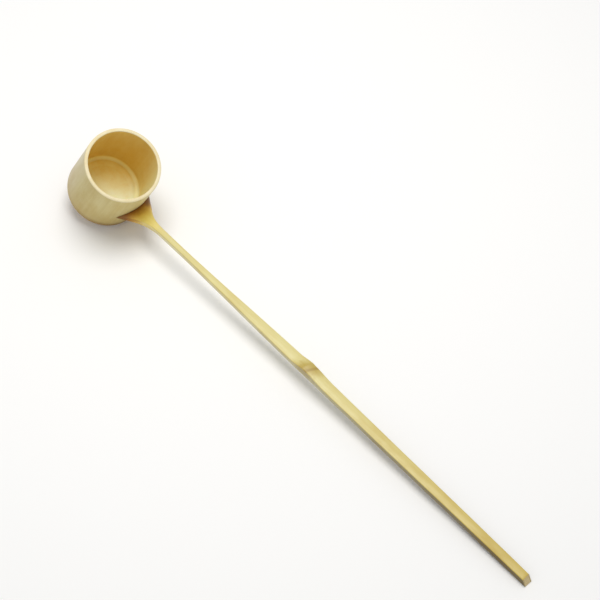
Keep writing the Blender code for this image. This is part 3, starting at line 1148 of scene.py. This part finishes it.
# %% [markdown]
# ### Painted shade and a stain that the handle's faces share
# The corner where the handle meets the cup is painted orange and then brown as shade, and the node left a
# slanted band right through the strip. The skin and the split faces both show them, so both are masks made
# by shared functions: from the distance to the cup's wall for the corner, and along the strip for the node.

# %% Painted shade of the corner
# Painted shade for the corner at the cup: orange, then brown nearest the wall.
CORNER_SHADE_ORANGE = srgb(232, 168, 30)
CORNER_SHADE_BROWN = srgb(146, 81, 10)
HORN_SHADE_BROWN = srgb(124, 86, 4)
ORANGE_REACH = 0.0130
BROWN_REACH = 0.0080
CORNER_SCALE = 300.0
CORNER_RAGGED = 0.003
CORNER_FULL = 0.0008
HORN_SHADE_EXTRA = 0.005
HORN_SHADE_START = 0.005
WALL_BLUR = 0.0006


def horn_share(n, place):
    """0 along the strip's middle, 1 at the horns' points."""
    across = n.math("ABSOLUTE", split_axes(n, place)["Y"])
    return n.ramp(across, HORN_SHADE_START, HORN_WIDTH / 2)


def corner_shade_mask(n, place, reach):
    """Mask of the painted shade: 1 in the corner at the cup, 0 from a ragged line at this reach, further
    out at the horns.
    """
    cup_axes = split_axes(n, local_place(n, CUP_TO_WORLD))
    from_cup = n.minus(radius_of(n, cup_axes), CUP_RADIUS)
    ragged = n.plus(from_cup, n.times(noise(n, place, CORNER_SCALE), CORNER_RAGGED))
    pushed_out = n.minus(ragged, n.times(horn_share(n, place), HORN_SHADE_EXTRA))
    return n.times(n.ramp(pushed_out, reach, CORNER_FULL), n.ramp(from_cup, -WALL_BLUR, 0.0))


def corner_shade_colour(n, place):
    return n.blend(horn_share(n, place), CORNER_SHADE_BROWN, HORN_SHADE_BROWN)


# Paints shade into the corner under the cup's overhang, orange and then brown.
def paint_corner_shade(n, place, colour):
    orange = n.tint(colour, CORNER_SHADE_ORANGE, corner_shade_mask(n, place, ORANGE_REACH), most=0.8)
    return n.tint(orange, corner_shade_colour(n, place), corner_shade_mask(n, place, BROWN_REACH), most=0.95)


print("the corner's brown reaches", round(BROWN_REACH * 1000, 1), "mm from the wall, more at the horns")

# %% [markdown]
# The band at the node is measured from a slanted line across the strip, because that is how the
# culm's ring runs over a strip that is split a little askew. Noise makes both its edges ragged.

# %% Band of the node
NODE_BAND_SLANT = 0.5
NODE_BAND_OFFSET = 0.0010
NODE_BAND_SCALE = 420.0
NODE_BAND_RAGGED = 0.006
NODE_BAND_NONE, NODE_BAND_FULL = 0.0105, 0.0012


def past_node(n, axes):
    """Distance beyond the node's slanted line."""
    beyond = n.minus(axes["Z"], NODE_DISTANCE + NODE_BAND_OFFSET)
    return n.minus(beyond, n.times(axes["Y"], NODE_BAND_SLANT))


def node_band(n, place, beyond):
    jitter = n.times(n.minus(noise(n, place, NODE_BAND_SCALE), 0.5), NODE_BAND_RAGGED)
    ragged = n.math("ABSOLUTE", n.plus(beyond, jitter))
    return n.ramp(ragged, NODE_BAND_NONE, NODE_BAND_FULL)


print("node band lies", round((NODE_DISTANCE + NODE_BAND_OFFSET) * 1000, 1), "mm along the handle")

# %% [markdown]
# ### The handle's skin
# The top of the handle keeps the culm's own skin, pale yellow and smooth with a soft sheen. It is golden on
# the flare, has painted shade in the corner at the cup, orange and then brown, is browner at the node, and
# darker towards the tip, where it is held. Each of these is a tint laid over the one before, led by the
# distance along the strip, which is Z in its fibre frame.

# %% Finish: handle skin
SKIN_PALE = srgb(224, 215, 153)
SKIN_DARK = srgb(201, 183, 100)
SKIN_STAIN = srgb(236, 218, 172)
FLARE_GOLD = srgb(232, 206, 84)
FLARE_NONE, FLARE_FULL = 0.030, 0.002
GRIP_OCHRE = srgb(196, 170, 66)
GRIP_START = NODE_DISTANCE - 0.03
NODE_TAN = srgb(178, 152, 56)
SCAR_BROWN = srgb(142, 108, 44)
SCAR_BLUR, SCAR_HALF = 0.0018, 0.0003


def handle_skin():
    made, n, shader, place, axes = start_finish("handle_skin", HANDLE_FIBRES)
    along = axes["Z"]
    fibres = n.group(FIBRES, Place=place, Streak=0.6, Fleck=0.14, Pale=SKIN_PALE, Dark=SKIN_DARK)
    golden = n.tint(fibres["Color"], FLARE_GOLD, n.ramp(along, FLARE_NONE, FLARE_FULL), most=0.85)
    # Painted shade in the corner at the cup.
    corner_shaded = paint_corner_shade(n, place, golden)
    tip_darkened = n.tint(corner_shaded, GRIP_OCHRE, n.ramp(along, GRIP_START, HANDLE_LENGTH), most=0.85)
    beyond = past_node(n, axes)
    banded = n.tint(tip_darkened, NODE_TAN, node_band(n, place, beyond), most=0.8)
    scar = n.ramp(n.apart(beyond, GROOVE_OFFSET), SCAR_BLUR, SCAR_HALF)
    marked = n.tint(banded, SCAR_BROWN, scar, most=0.45)
    age(n, shader, place, marked, SKIN_STAIN, amount=0.35, polish=0.34, dulled=0.16)
    add_relief(n, shader, fibres["Height"], strength=0.22, depth=0.0001)
    return made


HANDLE_SKIN = handle_skin()
print("made finish", HANDLE_SKIN.name)

# %% [markdown]
# ### Split faces
# The sides and the underside of the handle were split and scraped, so they show the flesh: drier, browner
# and much more lined than the skin. They turn golden at the flare, and take painted shade: in the corner at
# the cup, deeper close under the flare, and darker towards the tip. The wedges are split from older bamboo,
# so they take the same finish with other colours, and without the gold and the painted shade towards the
# tip.

# %% Finish: split faces
SPLIT_PALE = srgb(238, 233, 192)
SPLIT_DARK = srgb(224, 211, 160)
SPLIT_STAIN = srgb(226, 204, 152)
SPLIT_GOLD = srgb(238, 206, 84)
# Reach of the deeper painted shade under the flare.
SPLIT_SHADE_REACH = 0.014
# Painted shade that darkens the split faces towards the tip.
SPLIT_TIP_SHADE = srgb(98, 77, 28)
SPLIT_TIP_SHADE_START = 0.03
SPLIT_NODE = srgb(150, 120, 66)
SLIP_PALE = srgb(186, 150, 88)
SLIP_DARK = srgb(134, 100, 50)


def split_face(name, pale, dark, tip_shade_and_gold):
    made, n, shader, place, axes = start_finish(name, HANDLE_FIBRES)
    fibres = n.group(FIBRES, Place=place, Streak=0.8, Fleck=0.5, Pale=pale, Dark=dark)
    # Painted shade: the split faces darken towards the tip.
    tip_shade = n.ramp(axes["Z"], SPLIT_TIP_SHADE_START, HANDLE_LENGTH)
    tip_darkened = n.tint(fibres["Color"], SPLIT_TIP_SHADE, tip_shade, most=0.92 * tip_shade_and_gold)
    flare = n.ramp(axes["Z"], FLARE_NONE, FLARE_FULL)
    golden = n.tint(tip_darkened, SPLIT_GOLD, flare, most=0.75 * tip_shade_and_gold)
    # Painted shade in the corner at the cup, deeper on these faces close under the flare.
    corner = paint_corner_shade(n, place, golden)
    deep_shade = corner_shade_mask(n, place, SPLIT_SHADE_REACH)
    corner_shaded = n.tint(corner, corner_shade_colour(n, place), deep_shade, most=0.7)
    band = node_band(n, place, past_node(n, axes))
    banded = n.tint(corner_shaded, SPLIT_NODE, band, most=0.2)
    age(n, shader, place, banded, SPLIT_STAIN, amount=0.5, polish=0.55, dulled=0.15)
    add_relief(n, shader, fibres["Height"], strength=0.5, depth=0.00018)
    return made


HANDLE_SPLIT = split_face("handle_split", SPLIT_PALE, SPLIT_DARK, tip_shade_and_gold=1.0)
WEDGE_SPLIT = split_face("wedge_split", SLIP_PALE, SLIP_DARK, tip_shade_and_gold=0.0)
print("made finishes", HANDLE_SPLIT.name, "and", WEDGE_SPLIT.name)

# %% [markdown]
# ### Cut ends of the handle
# The sawn tip, the tongue's end inside the cup and the wedges' ends show the bundles as dots. Depth
# below the skin, which is X in the fibre frame, makes them crowd towards the top. The dots stand
# out more than on the rim, because these ends were cut once and never polished.

# %% Finish: cut ends of the handle
END_FLESH = srgb(222, 200, 146)
END_BUNDLE = srgb(120, 88, 44)
END_STAIN = srgb(214, 186, 132)
SKIN_DEPTH = 0.005


def cut_end(name, flesh):
    made, n, shader, place, axes = start_finish(name, HANDLE_FIBRES)
    nearness = n.ramp(axes["X"], SKIN_DEPTH, 0.0)
    ends = n.group(CUT_END, Place=place, Skin=nearness, Strength=0.7, Flesh=flesh, Bundle=END_BUNDLE)
    age(n, shader, place, ends["Color"], END_STAIN, amount=0.5, polish=0.5, dulled=0.15)
    add_relief(n, shader, ends["Height"], strength=0.4, depth=0.00015)
    return made


HANDLE_END = cut_end("handle_end", END_FLESH)
WEDGE_END = cut_end("wedge_end", SLIP_PALE)
print("made finishes", HANDLE_END.name, "and", WEDGE_END.name)

# %% [markdown]
# ## Dressing a piece
# A finish belongs to the faces that were made the same way. Painting by hand would not survive a change of
# size, so each face is looked up in its piece's own frame. A dressed piece is then shaded smooth with its
# true edges kept sharp, hung on the root, and the CAD node it stands for is hidden.

# %% Helpers for dressing
SHARP_ANGLE = math.radians(38)


def dress(item, finishes, to_world, choose):
    item.data.materials.clear()
    for finish in finishes:
        item.data.materials.append(finish)
    back = to_world.inverted()
    turn_back = back.to_3x3()
    counts = [0] * len(finishes)
    for face in item.data.polygons:
        face.material_index = choose(back @ face.center, turn_back @ face.normal)
        counts[face.material_index] += 1
    print(item.name, dict(zip([finish.name for finish in finishes], counts)))


def settle(item, node):
    item.data.shade_smooth()
    item.data.set_sharp_from_angle(angle=SHARP_ANGLE)
    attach(item, "root")
    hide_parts(node)
    print(item.name, len(item.data.polygons), "faces")


print("edges over", round(math.degrees(SHARP_ANGLE)), "degrees stay sharp")

# %% [markdown]
# ### Dressing the cup
# For the cup, a face's height, its distance from the axis and the way it looks say whether it is
# wall, rim, floor or foot. The slot's walls lie within the cup's own wall and look along it.

# %% Dress the cup
OUTSIDE, RIM, INSIDE, UNDER = range(4)
FACE_MARGIN = 0.0002
LIP_LOOK = 0.35
SQUARE_LOOK = 0.6
SLOT_LOW, SLOT_HIGH = 0.008, 0.040


def cup_finish(centre, normal):
    radius = math.hypot(centre.x, centre.y)
    outward = (normal.x * centre.x + normal.y * centre.y) / max(radius, MERGE)
    if centre.z > CUP_HEIGHT - LIP_OUTER and normal.z > LIP_LOOK:
        return RIM
    if centre.z < UNDER_HOLLOW + FACE_MARGIN and normal.z < -SQUARE_LOOK:
        return UNDER
    in_wall = BORE_RADIUS + FACE_MARGIN < radius < CUP_RADIUS - FACE_MARGIN
    if in_wall and abs(outward) < SQUARE_LOOK and SLOT_LOW < centre.z < SLOT_HIGH:
        return RIM
    if radius > CUP_RADIUS - CUP_WALL / 2 or (radius > BORE_RADIUS and outward > LIP_LOOK):
        return OUTSIDE
    return INSIDE


dress(cup, [CUP_OUTSIDE, CUP_RIM, CUP_INSIDE, CUP_UNDERSIDE], CUP_TO_WORLD, cup_finish)
settle(cup, "cup")

# %% [markdown]
# ### Dressing the handle
# On the strip the way a face looks is nearly enough: up is skin, along is a cut end, and the rest
# was split. The scooped face against the cup also looks partly up, so skin has to lie near the top
# too. The tongue, which lies within the cup's radius, lost its skin when it was cut to size.

# %% Dress the handle
SKIN, SPLIT, END = range(3)
SKIN_LOOK = 0.42
SKIN_LOWEST = -HANDLE_CULM_RADIUS / 4
HANDLE_TO_CUP = CUP_TO_WORLD.inverted() @ HANDLE_TO_WORLD


def handle_finish(centre, normal):
    on_tongue = (HANDLE_TO_CUP @ centre).xy.length < CUP_RADIUS
    at_tip = centre.x > STRIP_END - TIP_THICKNESS and normal.x > SQUARE_LOOK
    if at_tip or (on_tongue and normal.x < -SQUARE_LOOK):
        return END
    looks_up = normal.z > SKIN_LOOK and centre.z > SKIN_LOWEST
    return SKIN if looks_up and not on_tongue else SPLIT


dress(handle, [HANDLE_SKIN, HANDLE_SPLIT, HANDLE_END], HANDLE_TO_WORLD, handle_finish)
settle(handle, "handle")

# %% [markdown]
# ### Dressing the wedges
# Only the wedges' ends show, flush in the tongue. They look back along the handle, so one direction
# tells a cut end from a split side.

# %% Dress the wedges
def wedge_finish(centre, normal):
    return 1 if normal.x < -SQUARE_LOOK else 0


for side, slip in wedges.items():
    dress(slip, [WEDGE_SPLIT, WEDGE_END], HANDLE_TO_WORLD, wedge_finish)
    settle(slip, "wedge_" + side)

# %% [markdown]
# ## The floor
# The ladle lies on a plain pale floor. A real studio would bend a sheet of paper up behind it, but from
# this height the camera sees only floor, so one large flat sheet is enough. It isn't part of the ladle.

# %% Floor
FLOOR_HALF = 3.0
FLOOR_WHITE = (0.95, 0.95, 0.945, 1.0)
FLOOR_MATT = 0.9


def make_floor():
    bm = bmesh.new()
    bmesh.ops.create_grid(bm, x_segments=8, y_segments=8, size=FLOOR_HALF)
    floor = mesh_object("floor", bm, Matrix.Identity(4))
    made = bpy.data.materials.new("floor_paper")
    made.use_nodes = True
    shader = made.node_tree.nodes["Principled BSDF"]
    shader.inputs["Base Color"].default_value = FLOOR_WHITE
    shader.inputs["Roughness"].default_value = FLOOR_MATT
    floor.data.materials.append(made)
    return floor


floor = make_floor()
print(floor.name, "is", 2.0 * FLOOR_HALF, "m wide")

# %% [markdown]
# ## The light
# A soft light hangs almost straight above the cup. The cup leans towards its handle, so this light
# reaches only the half of its floor that lies there, leaves the far wall golden and puts the root
# of the handle in shade. A pale sky fills the rest. A sun would do too, but its shadows are harder.

# %% Lights
KEY_PLACE = Vector((-0.17, 0.10, 0.98))
KEY_AIM = Vector((-0.12, 0.0, 0.02))
KEY_SIZE = 0.62
KEY_POWER = 5.9
KEY_COLOUR = (1.0, 0.975, 0.94)
SKY_COLOUR = (0.98, 0.99, 1.0, 1.0)
SKY_STRENGTH = 0.54


def add_key():
    data = bpy.data.lights.new("key", "AREA")
    data.shape = "DISK"
    data.size = KEY_SIZE
    data.energy = KEY_POWER
    data.color = KEY_COLOUR
    key = add_object("key", data)
    key.matrix_world = facing(KEY_PLACE, KEY_PLACE - KEY_AIM)
    return key


def add_sky():
    world = bpy.data.worlds.new("sky")
    world.use_nodes = True
    background = world.node_tree.nodes["Background"]
    background.inputs["Color"].default_value = SKY_COLOUR
    background.inputs["Strength"].default_value = SKY_STRENGTH
    bpy.context.scene.world = world
    return world


key = add_key()
sky = add_sky()
bpy.context.scene.view_settings.view_transform = "Standard"
print("lit by", key.name, "and", sky.name)

# %% [markdown]
# The dressed ladle has to stay inside the CAD model's box.
